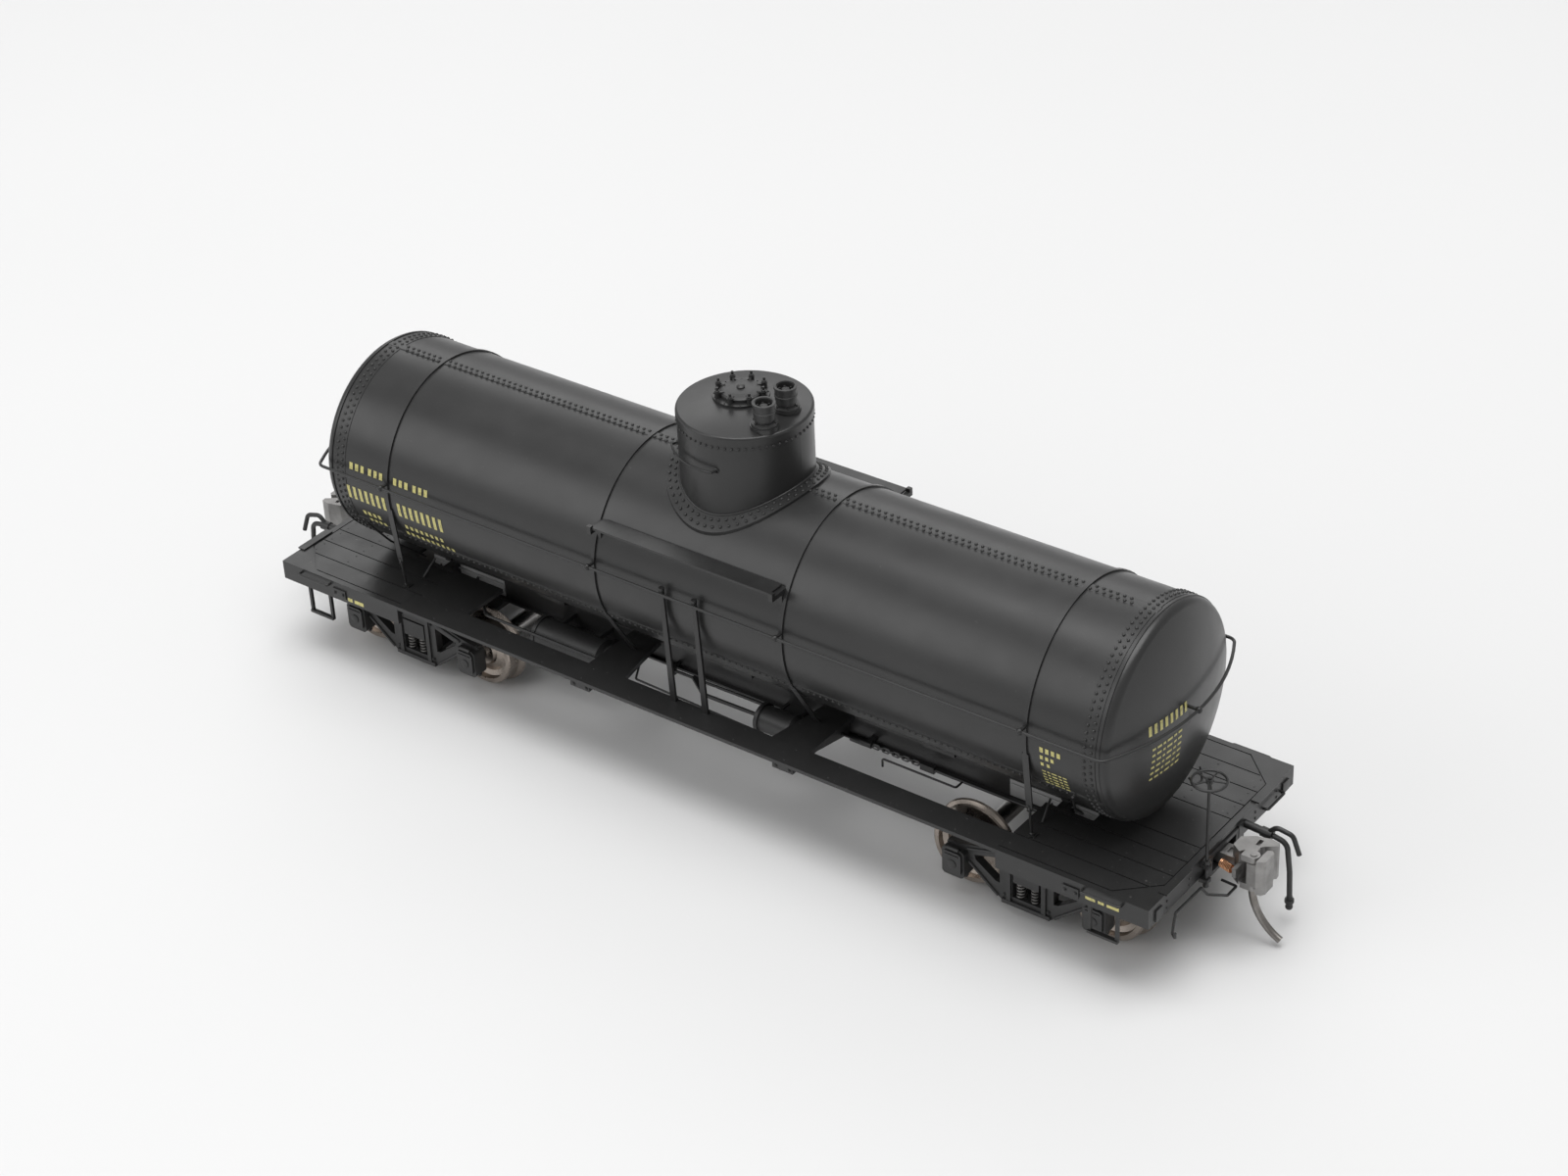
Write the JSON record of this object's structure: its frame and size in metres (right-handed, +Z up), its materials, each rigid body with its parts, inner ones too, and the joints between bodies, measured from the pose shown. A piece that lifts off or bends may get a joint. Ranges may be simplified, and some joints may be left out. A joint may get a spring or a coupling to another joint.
{
  "type": "model tank wagon",
  "caption": "HO scale model railway tank wagon: a domed cylindrical tank with a handrail and running boards, on a frame with two sprung swivelling trucks and knuckle couplers.",
  "frame": {"origin": "under the middle of the wagon, at the bottom centre of its box, on the plane the wheel flanges stand on", "axes": "+X along the wagon toward the hand-brake end, +Y to the wagon's left side, +Z up"},
  "size_m": [0.148, 0.0342, 0.0523],
  "materials": {
    "tank_paint": "satin charcoal-black paint on brass",
    "deck_paint": "semi-gloss charcoal-black paint on brass",
    "wire_paint": "satin black paint on brass wire and strip",
    "detail_paint": "satin black paint on brass castings",
    "truck_paint": "satin black paint on brass castings",
    "coupler_metal": "rough unpainted light grey casting",
    "spring_copper": "bright copper-coloured wire",
    "pin_steel": "dark blued steel wire",
    "wheel_metal": "turned nickel-plated brass, bright tread",
    "axle_steel": "plain turned steel",
    "spring_steel": "steel wire, darkened",
    "screw_brass": "turned brass"
  },
  "bodies": {
    "wagon": {"tank_shell": "tank_paint", "tank_head_a": "tank_paint", "tank_head_b": "tank_paint", "tank_bands": "tank_paint", "tank_saddles": "tank_paint", "tank_screws": "screw_brass", "dome_shell": "tank_paint", "dome_cap": "tank_paint", "dome_flange": "tank_paint", "manway_cover": "detail_paint", "manway_bolts": "detail_paint", "safety_valves": "detail_paint", "dome_steps": "wire_paint", "handrail": "wire_paint", "handrail_stanchions": "wire_paint", "ladder_posts": "wire_paint", "center_sill": "deck_paint", "body_bolsters": "deck_paint", "crossbearers": "deck_paint", "deck_a": "deck_paint", "deck_b": "deck_paint", "platform_sills_a": "deck_paint", "platform_sills_b": "deck_paint", "running_boards": "deck_paint", "stirrup_steps": "wire_paint", "grab_irons": "wire_paint", "cut_levers": "wire_paint", "brake_staff": "wire_paint", "brake_wheel": "wire_paint", "brake_cylinder": "detail_paint", "air_reservoir": "detail_paint", "brake_rods": "wire_paint", "brake_chain": "wire_paint", "train_pipe": "wire_paint", "air_hoses": "detail_paint", "coupler_boxes": "detail_paint", "coupler_screws": "screw_brass", "truck_screws": "screw_brass"},
    "truck_a": {"side_frames_a": "truck_paint", "truck_bolster_a": "truck_paint", "truck_springs_a": "spring_steel"},
    "coupler_a": {"coupler_a": "coupler_metal", "knuckle_spring_a": "spring_copper", "trip_pin_a": "pin_steel"},
    "knuckle_a": {"knuckle_a": "coupler_metal"},
    "truck_b": {"side_frames_b": "truck_paint", "truck_bolster_b": "truck_paint", "truck_springs_b": "spring_steel"},
    "coupler_b": {"coupler_b": "coupler_metal", "knuckle_spring_b": "spring_copper", "trip_pin_b": "pin_steel"},
    "knuckle_b": {"knuckle_b": "coupler_metal"},
    "wheelset_1": {"axle_1": "axle_steel", "wheels_1": "wheel_metal"},
    "wheelset_2": {"axle_2": "axle_steel", "wheels_2": "wheel_metal"},
    "wheelset_3": {"axle_3": "axle_steel", "wheels_3": "wheel_metal"},
    "wheelset_4": {"axle_4": "axle_steel", "wheels_4": "wheel_metal"}
  },
  "joints": [
    {"name": "truck_a_swivel", "type": "hinge", "parent": "wagon", "child": "truck_a", "pos_m": [0.0474, 0, 0.0084], "axis": [0, 0, 1], "range_deg": [-8, 8]},
    {"name": "truck_b_swivel", "type": "hinge", "parent": "wagon", "child": "truck_b", "pos_m": [-0.0474, 0, 0.0084], "axis": [0, 0, 1], "range_deg": [-8, 8]},
    {"name": "wheelset_1_spin", "type": "hinge", "parent": "truck_a", "child": "wheelset_1", "pos_m": [0.05702, 0, 0.00545], "axis": [0, 1, 0], "continuous": true},
    {"name": "wheelset_2_spin", "type": "hinge", "parent": "truck_a", "child": "wheelset_2", "pos_m": [0.03778, 0, 0.00545], "axis": [0, 1, 0], "continuous": true},
    {"name": "wheelset_3_spin", "type": "hinge", "parent": "truck_b", "child": "wheelset_3", "pos_m": [-0.03778, 0, 0.00545], "axis": [0, 1, 0], "continuous": true},
    {"name": "wheelset_4_spin", "type": "hinge", "parent": "truck_b", "child": "wheelset_4", "pos_m": [-0.05702, 0, 0.00545], "axis": [0, 1, 0], "continuous": true},
    {"name": "coupler_a_swing", "type": "hinge", "parent": "wagon", "child": "coupler_a", "pos_m": [0.0612, 0, 0.01055], "axis": [0, 0, 1], "range_deg": [-8, 8], "stiffness_Nm_per_rad": 0.0002},
    {"name": "knuckle_a_open", "type": "hinge", "parent": "coupler_a", "child": "knuckle_a", "pos_m": [0.0707, -0.00115, 0.01055], "axis": [0, 0, -1], "range_deg": [0, 25], "stiffness_Nm_per_rad": 0.0001},
    {"name": "coupler_b_swing", "type": "hinge", "parent": "wagon", "child": "coupler_b", "pos_m": [-0.0612, 0, 0.01055], "axis": [0, 0, 1], "range_deg": [-8, 8], "stiffness_Nm_per_rad": 0.0002},
    {"name": "knuckle_b_open", "type": "hinge", "parent": "coupler_b", "child": "knuckle_b", "pos_m": [-0.0707, 0.00115, 0.01055], "axis": [0, 0, -1], "range_deg": [0, 25], "stiffness_Nm_per_rad": 0.0001}
  ]
}
